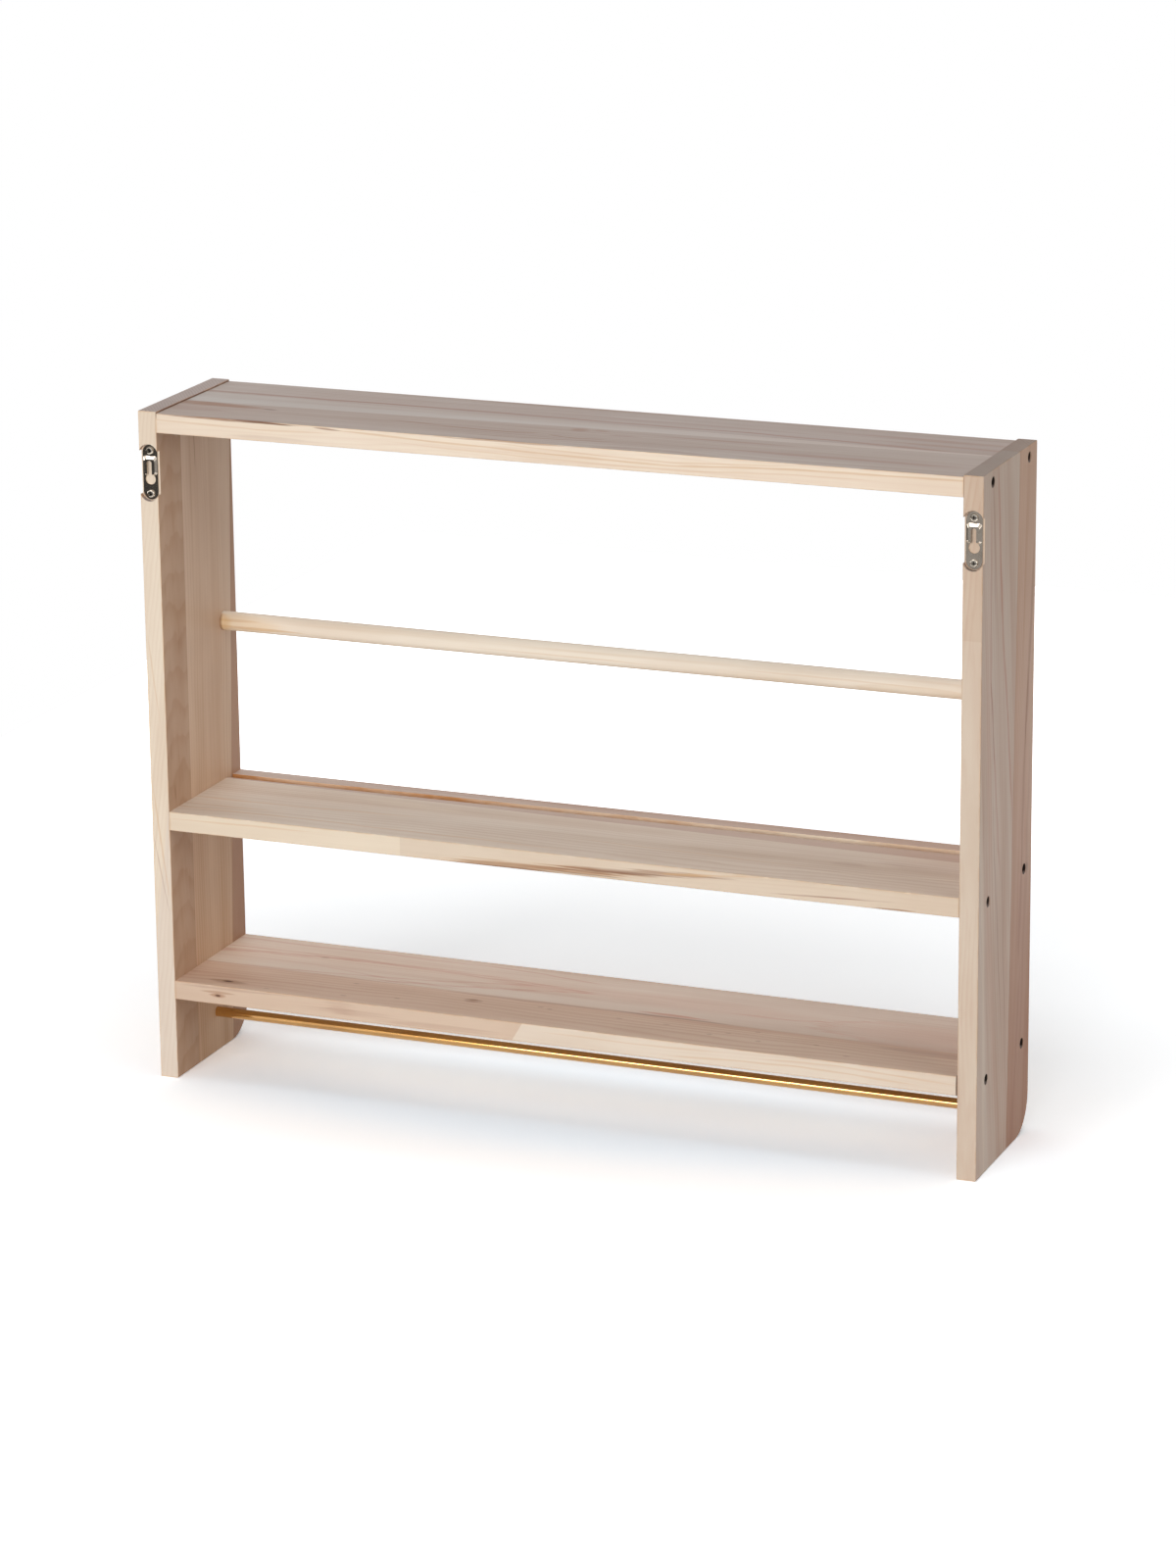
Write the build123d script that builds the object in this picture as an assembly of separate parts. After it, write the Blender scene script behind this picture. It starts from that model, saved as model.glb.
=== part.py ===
from build123d import *
import os

# Plate shelf that hangs on a wall by two keyhole plates.
# Millimetres. X runs along the width, +Y points at the wall and +Z is up.
# The origin is at floor level, under the middle of the shelf.
# Left and right are as seen by someone facing the shelf on its wall.

# Overall size
total_width = 800.0
total_depth = 152.0
total_height = 636.0

# Boards
panel_thickness = 18.0
shelf_thickness = 18.0
panel_rise = 1.5  # side panels stand this far above the top shelf
foot_radius = 35.0  # lower front corner of the side panels
edge_radius = 0.8  # sanded edges

# Shelf heights, from the floor to the upper face
middle_shelf_height = 260.0
lower_shelf_height = 96.0

# Groove in the middle shelf that holds the plates' rims
groove_width = 12.0
groove_depth = 5.0
groove_inset = 18.0  # front of the shelf to the groove

# Wooden rail that the plates lean on
rail_diameter = 18.0
rail_inset = 27.0  # front of the shelf to the rail's axis
rail_above_shelf = 152.0  # middle shelf's upper face to the rail's axis
rail_socket_depth = 10.0
rail_clearance = 0.05  # radial, a snug push fit

# Brass rod for hooks, free to turn in its sockets
rod_diameter = 10.0
rod_inset = 65.5  # front of the shelf to the rod's axis
rod_below_shelf = 39.5  # lower shelf's underside to the rod's axis
rod_socket_depth = 10.0
rod_clearance = 0.05  # radial, a running fit
bar_end_gap = 0.3  # left free at each end of the rail and the rod

# Screws that hold the shelves, sunk into the outer faces of the side panels
screw_front_inset = 22.0
screw_back_inset = 26.5
screw_sink = 4.0  # outer face of the panel to the screw's head
screw_head_diameter = 9.4
screw_head_height = 4.0
screw_neck_diameter = 7.0
screw_core_diameter = 5.0
screw_length = 50.0  # below the head
screw_tip_length = 4.0
screw_key_width = 4.0  # across the flats of the hexagonal key hole
screw_key_depth = 2.5
screw_recess_clearance = 0.3  # radial, around the head
screw_hole_clearance = 0.1  # radial, around the neck and the core
pilot_end_gap = 1.0  # beyond the screw's tip

# Keyhole plates in the wall side of the side panels
hanger_length = 51.0
hanger_width = 15.0
hanger_thickness = 1.2
hanger_drop = 30.5  # top of the panel to the top of the pocket
hanger_rim = 0.25  # rounded edge of the pressed sheet
pocket_width = 19.0
pocket_depth = 5.0
pocket_end_gap = 1.0  # above and below the plate
keyhole_diameter = 10.0
keyhole_drop = 6.5  # middle of the plate to the round hole's centre
slot_width = 4.7
slot_travel = 15.2  # round hole's centre to the centre of the slot's upper end

# Pressed ridge around the slot, measured at its foot from the middle of the plate
ridge_width = 13.7
ridge_above_middle = 15.0
ridge_below_middle = 2.7
ridge_rise = 2.2
ridge_corner = 2.4
ridge_slope_side = 1.6  # width of each slope, seen from the wall
ridge_slope_upper = 2.7
ridge_slope_lower = 1.0

# Screws that hold the keyhole plates
plate_screw_spacing = 40.0
plate_screw_head_diameter = 7.0
plate_screw_head_height = 1.8
plate_screw_crown = 1.2
plate_screw_core_diameter = 3.0
plate_screw_length = 16.0
plate_screw_tip_length = 3.0
plate_screw_hole_clearance = 0.4  # radial, in the plate
plate_screw_pilot_clearance = 0.05  # radial, in the wood
cross_length = 4.0
cross_width = 0.9
cross_depth = 1.1

# Places worked out from the sizes
left = -1
right = 1
front = -total_depth / 2
back = total_depth / 2
outer_x = total_width / 2
inner_x = outer_x - panel_thickness
panel_middle_x = outer_x - panel_thickness / 2
top_shelf_height = total_height - panel_rise
rail_y = front + rail_inset
rail_z = middle_shelf_height + rail_above_shelf
rod_y = front + rod_inset
rod_z = lower_shelf_height - shelf_thickness - rod_below_shelf
pocket_length = hanger_length + 2 * pocket_end_gap
hanger_z = total_height - hanger_drop - pocket_length / 2
side_names = {left: "left", right: "right"}
shelf_heights = {"top": top_shelf_height, "middle": middle_shelf_height, "lower": lower_shelf_height}
screw_rows = {"front": front + screw_front_inset, "back": back - screw_back_inset}
screw_seat_depth = screw_sink + screw_head_height
screw_neck_length = panel_thickness - screw_seat_depth
plate_screw_places = {"upper": plate_screw_spacing / 2, "lower": -plate_screw_spacing / 2}


def rod_between(plane, diameter, start, end):
    """Round solid along the plane's normal, from one height above the plane to another."""
    section = plane.offset(start) * Circle(diameter / 2)
    return extrude(section, amount=end - start)


def bar_plane(y, z):
    """Plane across the width at the middle of the shelf, its normal along +X."""
    return Plane(origin=(0, y, z), z_dir=(1, 0, 0))


def screw_plane(side, y, z):
    """Plane on a side panel's outer face, its normal pointing away from the shelf."""
    return Plane(origin=(side * outer_x, y, z), z_dir=(side, 0, 0))


def hanger_plane(side):
    """Plane on the floor of a pocket, its normal pointing at the wall and its y up."""
    pocket_floor = (side * panel_middle_x, back - pocket_depth, hanger_z)
    return Plane(origin=pocket_floor, x_dir=(-1, 0, 0), z_dir=(0, 1, 0))


def pointed_core(plane, diameter, start, length, tip_length):
    """Screw core below a plane, down from start, with a cone for its tip."""
    shoulder = start + length - tip_length
    core = rod_between(plane, diameter, -start, -shoulder)
    tip_base = plane.offset(-shoulder) * Circle(diameter / 2)
    tip_end = plane.offset(-shoulder - tip_length) * Circle(diameter / 8)
    return core + loft([tip_base, tip_end])


def bar_socket(side, diameter, depth, y, z):
    """Space for a bar's end, from a side panel's inner face outwards."""
    return rod_between(bar_plane(y, z), diameter, side * inner_x, side * (inner_x + depth))


def rounded_rectangle(width, bottom, top, corner):
    """Face with rounded corners between two heights, centred on its width."""
    return Pos(0, (bottom + top) / 2) * RectangleRounded(width, top - bottom, corner)


def side_panel(side):
    """Upright board with a rounded lower front corner and everything that is cut into it."""
    outline = Pos(0, total_height / 2) * Rectangle(total_depth, total_height)
    foot_corner = outline.vertices().sort_by(Axis.X)[:2].sort_by(Axis.Y)[0]
    outline = fillet(foot_corner, foot_radius)
    board = extrude(Plane.YZ * outline, amount=panel_thickness / 2, both=True)
    board = fillet(board.faces().filter_by(Axis.X).edges(), edge_radius)
    board = Pos(side * panel_middle_x, 0, 0) * board

    pocket_shape = hanger_plane(side) * SlotOverall(pocket_length, pocket_width, rotation=90)
    board -= extrude(pocket_shape, amount=pocket_depth)
    for height in plate_screw_places.values():
        hole_plane = Plane(hanger_plane(side) * Pos(0, height, 0))
        hole_diameter = plate_screw_core_diameter + 2 * plate_screw_pilot_clearance
        hole_depth = plate_screw_length - hanger_thickness + pilot_end_gap
        board -= rod_between(hole_plane, hole_diameter, 0, -hole_depth)

    board -= bar_socket(side, rail_diameter + 2 * rail_clearance, rail_socket_depth, rail_y, rail_z)
    board -= bar_socket(side, rod_diameter + 2 * rod_clearance, rod_socket_depth, rod_y, rod_z)

    recess_diameter = screw_head_diameter + 2 * screw_recess_clearance
    neck_hole_diameter = screw_neck_diameter + 2 * screw_hole_clearance
    for height in shelf_heights.values():
        for y in screw_rows.values():
            plane = screw_plane(side, y, height - shelf_thickness / 2)
            board -= rod_between(plane, recess_diameter, 0, -screw_seat_depth)
            board -= rod_between(plane, neck_hole_diameter, -screw_seat_depth, -panel_thickness)
    return board


def shelf_board(height):
    """Flat board between the side panels, with pilot holes in its ends."""
    board = Box(2 * inner_x, total_depth, shelf_thickness)
    board = fillet(board.edges().filter_by(Axis.X), edge_radius)
    board = Pos(0, 0, height - shelf_thickness / 2) * board
    hole_diameter = screw_core_diameter + 2 * screw_hole_clearance
    hole_end = screw_seat_depth + screw_length + pilot_end_gap
    for side in side_names:
        for y in screw_rows.values():
            plane = screw_plane(side, y, height - shelf_thickness / 2)
            board -= rod_between(plane, hole_diameter, -panel_thickness, -hole_end)
    return board


def grooved_shelf(height):
    """Shelf board with the groove for plates along its front."""
    groove = Box(2 * inner_x, groove_width, groove_depth)
    groove_y = front + groove_inset + groove_width / 2
    return shelf_board(height) - Pos(0, groove_y, height - groove_depth / 2) * groove


def cross_bar(diameter, socket_depth, y, z):
    """Round bar that reaches into a blind socket at each end."""
    half_length = inner_x + socket_depth - bar_end_gap
    return rod_between(bar_plane(y, z), diameter, -half_length, half_length)


def shelf_screw(side, y, z):
    """Cylinder-head screw through a side panel into a shelf's end."""
    plane = screw_plane(side, y, z)
    screw = rod_between(plane, screw_head_diameter, -screw_sink, -screw_seat_depth)
    key_hole = RegularPolygon(screw_key_width / 2, 6, major_radius=False)
    screw -= extrude(plane.offset(-screw_sink) * key_hole, amount=-screw_key_depth)
    screw += rod_between(plane, screw_neck_diameter, -screw_seat_depth, -panel_thickness)
    core_length = screw_length - screw_neck_length
    return screw + pointed_core(plane, screw_core_diameter, panel_thickness, core_length, screw_tip_length)


def keyhole_plate(side):
    """Pressed plate with a keyhole, raised around the slot so that a screw's head fits behind it."""
    plane = hanger_plane(side)
    plate = extrude(SlotOverall(hanger_length, hanger_width, rotation=90), amount=hanger_thickness)
    plate = fillet(plate.faces().sort_by(Axis.Z)[-1].edges(), hanger_rim)
    foot = rounded_rectangle(ridge_width, -ridge_below_middle, ridge_above_middle, ridge_corner)
    crest_width = ridge_width - 2 * ridge_slope_side
    crest_bottom = ridge_slope_lower - ridge_below_middle
    crest_top = ridge_above_middle - ridge_slope_upper
    crest = rounded_rectangle(crest_width, crest_bottom, crest_top, ridge_corner)
    ridge = loft([foot, Pos(0, 0, ridge_rise) * crest])
    plate += Pos(0, 0, hanger_thickness) * ridge
    plate -= ridge

    through = 2 * (hanger_thickness + ridge_rise)
    slot_middle = slot_travel / 2 - keyhole_drop
    keyhole = Pos(0, -keyhole_drop) * Circle(keyhole_diameter / 2)
    keyhole += Pos(0, slot_middle) * SlotCenterToCenter(slot_travel, slot_width, rotation=90)
    plate -= extrude(keyhole, amount=through, both=True)
    hole_radius = plate_screw_core_diameter / 2 + plate_screw_hole_clearance
    for height in plate_screw_places.values():
        plate -= extrude(Pos(0, height) * Circle(hole_radius), amount=through, both=True)
    return plane * plate


def plate_screw(side, height):
    """Cross-head screw that holds a keyhole plate at one end."""
    seat = Plane.XY.offset(hanger_thickness)
    screw = rod_between(seat, plate_screw_head_diameter, 0, plate_screw_head_height)
    screw = fillet(screw.faces().sort_by(Axis.Z)[-1].edges(), plate_screw_crown)
    cross = Rectangle(cross_length, cross_width) + Rectangle(cross_width, cross_length)
    screw -= extrude(seat.offset(plate_screw_head_height) * cross, amount=-cross_depth)
    screw += pointed_core(seat, plate_screw_core_diameter, 0, plate_screw_length, plate_screw_tip_length)
    return hanger_plane(side) * Pos(0, height, 0) * screw


# Every piece by its node name
pieces = {
    "top_shelf": shelf_board(top_shelf_height),
    "middle_shelf": grooved_shelf(middle_shelf_height),
    "lower_shelf": shelf_board(lower_shelf_height),
    "plate_rail": cross_bar(rail_diameter, rail_socket_depth, rail_y, rail_z),
    "hook_rod": cross_bar(rod_diameter, rod_socket_depth, rod_y, rod_z),
}
for side, side_name in side_names.items():
    pieces[f"side_panel_{side_name}"] = side_panel(side)
    pieces[f"hanger_plate_{side_name}"] = keyhole_plate(side)
    for place, height in plate_screw_places.items():
        pieces[f"hanger_screw_{side_name}_{place}"] = plate_screw(side, height)
    for shelf_name, shelf_height in shelf_heights.items():
        for row_name, row_y in screw_rows.items():
            screw_z = shelf_height - shelf_thickness / 2
            pieces[f"shelf_screw_{side_name}_{shelf_name}_{row_name}"] = shelf_screw(side, row_y, screw_z)

os.makedirs("parts", exist_ok=True)
for node_name, piece in pieces.items():
    export_step(piece, f"parts/{node_name}.step")
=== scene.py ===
import math

import bpy
from mathutils import Euler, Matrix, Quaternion, Vector


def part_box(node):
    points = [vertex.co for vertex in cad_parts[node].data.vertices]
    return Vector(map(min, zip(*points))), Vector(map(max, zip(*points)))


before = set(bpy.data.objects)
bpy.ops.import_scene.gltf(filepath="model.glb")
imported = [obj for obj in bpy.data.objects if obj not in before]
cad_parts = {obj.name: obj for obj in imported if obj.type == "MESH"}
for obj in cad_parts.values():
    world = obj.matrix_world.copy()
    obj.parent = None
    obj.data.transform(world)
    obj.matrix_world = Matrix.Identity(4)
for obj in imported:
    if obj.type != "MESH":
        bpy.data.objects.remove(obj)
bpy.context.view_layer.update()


def paint(red, green, blue):
    """A screen colour, 0 to 255 a channel, as the linear colour that a shader takes."""
    channels = []
    for level in (red, green, blue):
        share = level / 255
        dark = share <= 0.04045
        channels.append(share / 12.92 if dark else ((share + 0.055) / 1.055) ** 2.4)
    return (*channels, 1.0)


# Camera, in metres and degrees, at the place that the photo's straight edges give
CAMERA_PLACE = (-1.6994, 4.1447, 1.6112)
CAMERA_AIM = (-0.0042, 0.0, 0.3046)
CAMERA_ROLL = -0.604
CAMERA_LENS = 118.34
CAMERA_SENSOR = 36.0

# Lamps, in metres: a level is the share of white that the lamp gives a white card facing it
LAMP_AIM = (0.0, 0.0, 0.3)
KEY_PLACE = (0.0, 4.75, 1.2)
KEY_SIZE = (4.0, 2.4)
KEY_LEVEL = 0.69
SIDE_PLACE = (-4.6, 1.2, 2.4)
SIDE_SIZE = (2.4, 2.4)
SIDE_LEVEL = 0.19
FILL_PLACE = (4.6, 0.0, 0.8)
FILL_SIZE = (2.0, 1.6)
FILL_LEVEL = 0.30
OVERHEAD_PLACE = (0.3, -1.9, 3.6)
OVERHEAD_SIZE = (1.8, 1.4)
OVERHEAD_LEVEL = 0.21
FRONT_PLACE = (0.0, -4.6, 1.2)
FRONT_SIZE = (3.0, 2.2)
FRONT_LEVEL = 0.28
TOP_PLACE = (0.0, -0.5, 4.0)
TOP_SIZE = (3.4, 3.0)
TOP_LEVEL = 0.20
GLINT_PLACE = (1.4, 1.6, 3.8)
GLINT_SIZE = (2.4, 1.0)
GLINT_LEVEL = 0.16
ROD_PLACE = (0.0, 4.6, 0.95)
ROD_SIZE = (4.0, 1.25)
ROD_LEVEL = 0.62

# Surroundings: the sky's light, and the floor that metal sees past the paper, by direction
SKY_LEVEL = 0.25
FLOOR_LEVELS = (0.41, 0.06)
FLOOR_TURN = (0.34, 0.42)
HORIZON = (-0.03, 0.0)

# Paper, in metres: its corners and whites, and ovals on it whose spans are shares of their reach
PAPER_LOW = (-1.1, -2.0)
PAPER_HIGH = (1.1, 1.25)
WHITE = (1.0, 1.0, 1.0, 1.0)
PAPER_WHITE = (0.80, 0.80, 0.80, 1.0)
PAPER_SEEN_WHITE = (1.745, 1.78, 1.81, 1.0)
# painted colour: a cooler white in the shadow under the object, against light bounced warm off the wood
UNDER_WHITE = (1.58, 1.78, 1.96, 1.0)
UNDER_MIDDLE = (0.0, 0.02)
UNDER_HALF = (0.44, 0.125)
UNDER_SPAN = (1.3, 0.6)
FADE_MIDDLE = (0.0, 0.0)
FADE_HALF = (1.0, 1.0)
FADE_SPAN = (0.8, 1.1)
# painted light: the paper glows more away from the object, so that its shadow ends sooner
GLOW_MIDDLE = (0.075, -0.20)
GLOW_HALF = (0.60, 0.42)
GLOW_SPAN = (0.5, 1.2)
GLOW_LEVEL = 0.22
# painted light: the paper glows under the shelves, lifting the shadow there
LIFT_MIDDLE = (0.0, -0.03)
LIFT_HALF = (0.42, 0.11)
LIFT_SPAN = (1.1, 0.5)
LIFT_LEVEL = 0.135

# Wood tones, as they look in even light
ROSE_GREY = paint(203, 195, 189)
ROSE_SHADE = paint(175, 158, 148)
ASH_GREY = paint(203, 196, 190)
ASH_SHADE = paint(195, 182, 173)
DUSK_ROSE = paint(189, 174, 164)
DUSK_SHADE = paint(185, 172, 163)
CREAM = paint(246, 230, 210)
BLUSH = paint(226, 213, 203)
BLUSH_SHADE = paint(203, 172, 152)
SAND = paint(236, 222, 207)
SAND_SHADE = paint(225, 206, 188)
PALE_CREAM = paint(238, 222, 200)
PINK_CREAM = paint(228, 210, 189)
PEACH = paint(247, 233, 218)
PEACH_SHADE = paint(221, 201, 184)
HAZEL = paint(237, 210, 188)
HAZEL_SHADE = paint(229, 205, 183)
TAN = paint(221, 197, 175)
IVORY = paint(235, 220, 202)
ROSEWOOD = paint(210, 177, 153)
ROSEWOOD_SHADE = paint(177, 136, 112)
MUSHROOM = paint(213, 195, 179)
BISCUIT = paint(214, 194, 173)
OAT = paint(219, 202, 183)
DARK_ROSE = paint(185, 145, 118)
WHEAT = paint(223, 195, 171)
WHEAT_SHADE = paint(223, 192, 162)
ACORN = paint(199, 165, 137)
LINEN = paint(239, 223, 203)
LINEN_SHADE = paint(233, 218, 202)
RAIL_CREAM = paint(250, 239, 223)
# groove wall: routing burn together with painted warm bounce light
BURN_AND_BOUNCE_ORANGE = paint(205, 146, 92)
BURN_AND_BOUNCE_CREAM = paint(255, 240, 216)
END_GREY = paint(198, 186, 183)
END_BROWN = paint(165, 152, 144)

# Tints, which multiply a tone
GOLD_TINT = (0.84, 0.72, 0.58, 1.0)
BROWN_TINT = (0.78, 0.68, 0.60, 1.0)
RED_TINT = (0.80, 0.66, 0.60, 1.0)
ROSE_TINT = (0.80, 0.61, 0.54, 1.0)
END_GRAIN_TINT = (0.80, 0.76, 0.73, 1.0)
CLOUD_TINT = (0.94, 0.91, 0.89, 1.0)
ARRIS_TINT = (0.95, 0.86, 0.76, 1.0)

# Tones of streaks, knots and hollows, and painted shade for recesses, gaps and joints
# a brown streak tone, also used for the painted shade ring where the rail enters the panels
BROWN_STREAK_AND_SHADE = paint(146, 98, 68)
STREAK_RED = paint(150, 96, 76)
STREAK_ROSE = paint(204, 124, 88)
STREAK_VEIN = paint(180, 112, 86)
STREAK_GOLD = paint(214, 172, 124)
RAIL_GOLD = paint(226, 184, 120)
# a dark streak tone, also used for the painted shade line where the top shelf meets the right panel
DARK_STREAK_AND_SHADE = paint(92, 52, 32)
# a dark knot tone, also used for the painted shade in the gap at the lower shelf's left end
DARK_KNOT_AND_SHADE = paint(74, 44, 30)
KNOT_HALO = paint(176, 132, 104)
# painted shade: the dark of the deep screw recesses and of the crosses in screw heads
PAINTED_RECESS_SHADE = paint(24, 15, 10)

# Metal: tones, repeats a metre, spans of the noise, and gloss
BRASS_LIGHT = paint(208, 156, 78)
BRASS_DULL = paint(190, 136, 60)
BRASS_METALLIC = 0.82
BRASS_ROUGHNESS = 0.10
BRASS_LINES = (3, 2600, 2600)
BRASS_LINE_ROUGHNESS = 0.06
BRASS_LINE_STRENGTH = 0.10
BRASS_COAT_ROUGHNESS = 0.04
BRASS_COAT_IOR = 1.7
TARNISH_REPEATS = (14, 90, 90)
TARNISH_SPAN = (0.40, 0.72)
PLATE_LIGHT = paint(210, 198, 184)
PLATE_DULL = paint(196, 183, 168)
PLATE_ROUGHNESS = 0.09
HEAD_LIGHT = paint(208, 199, 186)
HEAD_DULL = paint(190, 181, 168)
HEAD_ROUGHNESS = 0.14
STEEL_LIGHT = paint(26, 22, 19)
STEEL_DULL = paint(16, 14, 12)
STEEL_ROUGHNESS = 0.45
PATCH_REPEATS = (120, 120, 120)
PATCH_SPAN = (0.35, 0.70)
SCRATCH_REPEATS = (900, 900, 5200)
SCRATCH_ROUGHNESS = 0.05
SCRATCH_STRENGTH = 0.2
SCRATCH_DEPTH = 0.000004
# where painted shade darkens the cross in a screw's head
CROSS_RADII = (0.0020, 0.0014)
CROSS_DEPTHS = (-0.0002, -0.0006)

# Wood figure, in metres; repeats are per metre along, across and through, spans of noise or a ring's turn
NOISE_MEAN = 0.5
STAVE_SHIFT = (0.41, 0.13, 0.07)
RING_SPACING = 0.0045
RING_RISE = (0.30, 0.90)
RING_FALL = (1.0, 0.90)
RING_WANDER = 0.034
RING_WANDER_REPEATS = (2.6, 12, 12)
RING_WIGGLE = 0.0016
RING_WIGGLE_REPEATS = (14, 90, 90)
RING_PATCH_REPEATS = (1.6, 26, 26)
RING_PATCH_SPAN = (0.36, 0.64)
CURL_WANDER = 0.4
CURL_DEPTH = 0.0045
CURL_REPEATS = (30, 55, 55)
BAND_REPEATS = (1.1, 44, 44)
BAND_SPAN = (0.40, 0.74)
FINE_VEIN_REPEATS = (3.0, 190, 190)
FINE_VEIN_SPAN = (0.52, 0.78)
FINE_VEIN_SHARE = 0.28
FIBRE_REPEATS = (22, 760, 760)
FIBRE_SHARE = 0.22
CLOUD_REPEATS = (6, 24, 24)
CLOUD_SPAN = (0.36, 0.66)
JOINT_WIDTH = 0.0004
JOINT_BLUR = 0.0002
GLUE_SHARE = 0.45

# Wood edges and ends: spans of facing are of the normal's share that points at the face
EDGE_FACING = (0.45, 0.85)
EDGE_DEPTH = 0.012
EDGE_FIGURE = 0.60
END_FACING = (0.5, 0.9)
END_COVER = 0.85
END_SLANT = 1.4
END_WANDER = 0.006
END_WANDER_REPEATS = (40, 40, 40)
END_SPACING = 0.005
END_RISE = (0.20, 0.85)
END_FALL = (1.0, 0.85)
END_RING_SHARE = 0.65
PORE_REPEATS = (900, 900, 900)
PORE_SPAN = (0.45, 0.70)
PORE_SHARE = 0.35
ARRIS_WIDTH = 0.0018
ARRIS_CORE = 0.0002
ARRIS_REPEATS = (60, 60, 60)
ARRIS_SPAN = (0.30, 0.60)

# Burn and painted warm bounce light in the groove: its reach is in shares of the board's half length
BURN_REPEATS = (11, 50, 50)
BURN_SPAN = (0.38, 0.64)
BURN_REACH = (0.3, -0.5)
BURN_MOTTLE = 0.45
BURN_FADE = 0.62

# Marks in the wood: lengths in metres, spans and overlaps in shares of a mark
MARK_DEPTH = 0.008
MARK_SPAN = (1.0, 0.3)
MARK_WANDER = 0.008
MARK_WANDER_REPEATS = (14, 40, 40)
MARK_WANDER_THROUGH = 0.3
MARK_TEAR_REPEATS = (16, 640, 640)
VEIN_OVERLAP = 0.35
# RECESS_DEPTHS and RECESS_REACH place the painted shade in the screw recesses
RECESS_DEPTHS = (0.0012, 0.0030)
RECESS_REACH = (0.016, 0.0105)

# Wood surface
GRAIN_DEPTH = 0.00025
GRAIN_STRENGTH = 0.35
WOOD_ROUGHNESS = 0.50
FIGURE_ROUGHNESS = 0.18
WORN_ROUGHNESS = -0.12
END_ROUGHNESS = 0.40
WOOD_SPECULAR = 0.30


def feed(tree, socket, value):
    """Link an output to a socket, or set the socket's own value."""
    if isinstance(value, bpy.types.NodeSocket):
        tree.links.new(value, socket)
    else:
        socket.default_value = value


class Finish:
    """One material under construction: every call adds a shader node and gives its output."""

    def __init__(self, name):
        self.material = bpy.data.materials.new(name)
        self.material.use_nodes = True
        self.tree = self.material.node_tree
        self.surface = self.tree.nodes["Principled BSDF"]

    def node(self, kind, feeds=(), **settings):
        made = self.tree.nodes.new(kind)
        for name, value in settings.items():
            setattr(made, name, value)
        for key, value in dict(feeds).items():
            feed(self.tree, made.inputs[key], value)
        return made

    def shine(self, **feeds):
        """Set the sockets of the surface shader, named with underscores for spaces."""
        for name, value in feeds.items():
            feed(self.tree, self.surface.inputs[name.replace("_", " ")], value)

    def math(self, operation, *values):
        return self.node("ShaderNodeMath", enumerate(values), operation=operation).outputs[0]

    def vector(self, operation, *values):
        return self.node("ShaderNodeVectorMath", enumerate(values), operation=operation)

    def place(self):
        return self.node("ShaderNodeTexCoord").outputs["Object"]

    def facing(self):
        """The direction that the surface faces, in the object's own frame, as three numbers."""
        normal = self.node("ShaderNodeTexCoord").outputs["Normal"]
        return self.node("ShaderNodeSeparateXYZ", {0: normal}).outputs

    def noise(self, place, repeats, detail=2.0, roughness=0.5):
        """Cloudy values about 0.5, with so many repeats a metre along each axis."""
        stretched = self.vector("MULTIPLY", place, repeats).outputs[0]
        feeds = {"Vector": stretched, "Scale": 1.0, "Detail": detail, "Roughness": roughness}
        return self.node("ShaderNodeTexNoise", feeds).outputs[0]

    def ease(self, value, low, high):
        """0 up to low, 1 from high on, and a smooth rise between; low may be the larger."""
        feeds = {"Value": value, "From Min": low, "From Max": high}
        return self.node("ShaderNodeMapRange", feeds, interpolation_type="SMOOTHSTEP").outputs[0]

    def blend(self, share, first, second, mode="MIX"):
        feeds = {"Fac": share, "Color1": first, "Color2": second}
        return self.node("ShaderNodeMixRGB", feeds, blend_type=mode).outputs[0]

    def bump(self, height, depth, strength):
        feeds = {"Height": height, "Distance": depth, "Strength": strength}
        self.shine(Normal=self.node("ShaderNodeBump", feeds).outputs[0])


def stave(tone, joint=None, drift=None, tint=BROWN_TINT, lean=0.0, dive=0.0, rings=0.42, bands=0.50,
          heart=(0.09, -0.055), spacing=RING_SPACING, curl=0.0, marks=()):
    """One stave of a board.

    joint is where it starts across the board, at the high and the low end of the grain, and drift its tone at
    the low end. The grain leans across the board and dives through it. Its rings lie about the tree's heart,
    given across and through from the board's middle, and curl ripples them. marks stay on this stave.
    """
    return {"tone": tone, "joint": joint, "drift": drift or tone, "tint": tint, "lean": lean, "dive": dive,
            "rings": rings, "bands": bands, "heart": heart, "spacing": spacing, "curl": curl, "marks": marks}


def mark(tone, place, half, turn=(0.0, 0.0, 0.0), strength=0.85, ragged=1.2, pointed=True, hollow=0.0):
    """A patch of another tone in the wood; half is its reach each way, in the object's frame.

    A pointed patch runs out to a tip along the grain. Of a hollow one only the rim shows, so wide a share.
    """
    return {"tone": tone, "place": Vector(place), "half": Vector(half), "turn": turn, "strength": strength,
            "ragged": ragged, "pointed": pointed, "hollow": hollow}


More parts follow.
